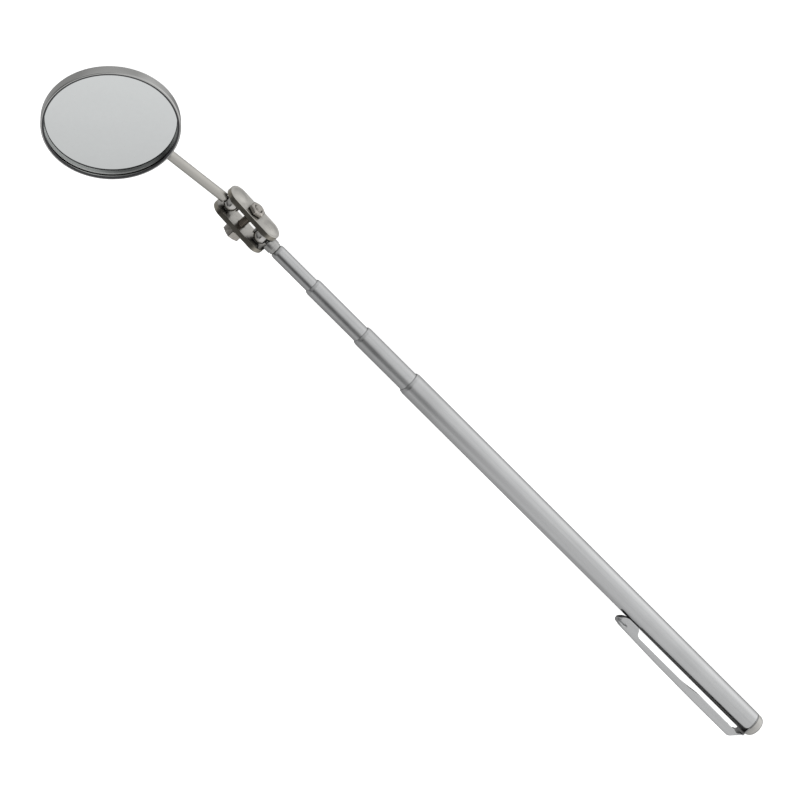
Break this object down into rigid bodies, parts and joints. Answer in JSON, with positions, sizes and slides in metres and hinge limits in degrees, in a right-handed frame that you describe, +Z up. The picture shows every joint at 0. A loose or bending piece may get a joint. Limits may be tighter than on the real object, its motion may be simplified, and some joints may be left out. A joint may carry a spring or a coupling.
{
  "type": "inspection mirror",
  "caption": "Telescoping inspection mirror: a round mirror on a rod, joined by a clamped double ball joint to a telescoping tube handle with a pocket clip.",
  "frame": {"origin": "middle of the tool's footprint, on the table that it lies on", "axes": "+X along the handle towards the mirror, +Z up from the table, +Y towards the clamp screw's head"},
  "size_m": [0.3736, 0.05, 0.0373],
  "materials": {
    "tube": "bright plate with fine drawing lines along the tubes",
    "end_cap": "satin turned",
    "clip": "plated spring sheet, slightly duller than the tubes",
    "spring_bronze": "plain bronze strip",
    "bush_brass": "turned",
    "ball": "polished plate",
    "clamp_plate": "warm satin nickel plate on pressed steel",
    "fastener": "satin nickel plate",
    "arm": "satin nickel plate",
    "cup": "bright plate on drawn sheet",
    "mirror_glass": "silvered glass",
    "pad": "thin black foam"
  },
  "bodies": {
    "barrel": {"barrel_tube": "tube", "end_cap": "end_cap", "clip_ring": "clip"},
    "clip": {"pocket_clip": "clip"},
    "second_slider": {"friction_spring_2": "spring_bronze"},
    "second_stage": {"second_tube": "tube", "stop_bush_2": "bush_brass"},
    "third_slider": {"friction_spring_3": "spring_bronze"},
    "third_stage": {"third_tube": "tube", "stop_bush_3": "bush_brass"},
    "inner_slider": {"friction_spring_4": "spring_bronze"},
    "inner_stage": {"inner_tube": "tube", "stop_bush_4": "bush_brass", "nose_plug": "tube"},
    "handle_ball": {"handle_ball": "ball"},
    "clamp": {"clamp_plate_front": "clamp_plate", "clamp_plate_rear": "clamp_plate", "clamp_screw": "fastener"},
    "nut": {"clamp_nut": "fastener"},
    "arm_ball": {"arm_ball": "ball"},
    "head": {"mirror_arm": "arm", "mirror_cup": "cup", "mirror_glass": "mirror_glass", "backing_pad": "pad"}
  },
  "joints": [
    {"name": "clip_flex", "type": "hinge", "parent": "barrel", "child": "clip", "pos_m": [-0.18271, 0.0049, 0.00881], "axis": [0, -0.512, 0.859], "range_deg": [0, 4], "stiffness_Nm_per_rad": 1, "springref_deg": -5.73},
    {"name": "second_slide", "type": "slide", "parent": "barrel", "child": "second_slider", "axis": [1, 0, 0], "range_m": [-0.0245, 0.1495]},
    {"name": "second_spin", "type": "hinge", "parent": "second_slider", "child": "second_stage", "pos_m": [0.09479, 0, 0.00589], "axis": [1, 0, 0], "continuous": true},
    {"name": "third_slide", "type": "slide", "parent": "second_stage", "child": "third_slider", "axis": [1, 0, 0], "range_m": [-0.025, 0.1495]},
    {"name": "third_spin", "type": "hinge", "parent": "third_slider", "child": "third_stage", "pos_m": [0.09479, 0, 0.00589], "axis": [1, 0, 0], "continuous": true},
    {"name": "inner_slide", "type": "slide", "parent": "third_stage", "child": "inner_slider", "axis": [1, 0, 0], "range_m": [-0.0175, 0.1575]},
    {"name": "inner_spin", "type": "hinge", "parent": "inner_slider", "child": "inner_stage", "pos_m": [0.09479, 0, 0.00589], "axis": [1, 0, 0], "continuous": true},
    {"name": "handle_ball_spin", "type": "hinge", "parent": "inner_stage", "child": "handle_ball", "pos_m": [0.09479, 0, 0.00589], "axis": [1, 0, 0], "continuous": true},
    {"name": "clamp_swing", "type": "hinge", "parent": "handle_ball", "child": "clamp", "pos_m": [0.09479, 0, 0.00589], "axis": [0, -1, 0], "range_deg": [-75, 85]},
    {"name": "nut_turn", "type": "hinge", "parent": "clamp", "child": "nut", "pos_m": [0.10286, -0.00612, 0.00519], "axis": [0, -1, 0], "range_deg": [-90, 90]},
    {"name": "arm_swing", "type": "hinge", "parent": "clamp", "child": "arm_ball", "pos_m": [0.11093, 0, 0.00448], "axis": [0, -1, 0], "range_deg": [-98, 62]},
    {"name": "arm_spin", "type": "hinge", "parent": "arm_ball", "child": "head", "pos_m": [0.11093, 0, 0.00448], "axis": [0.9744, 0, 0.225], "continuous": true}
  ]
}
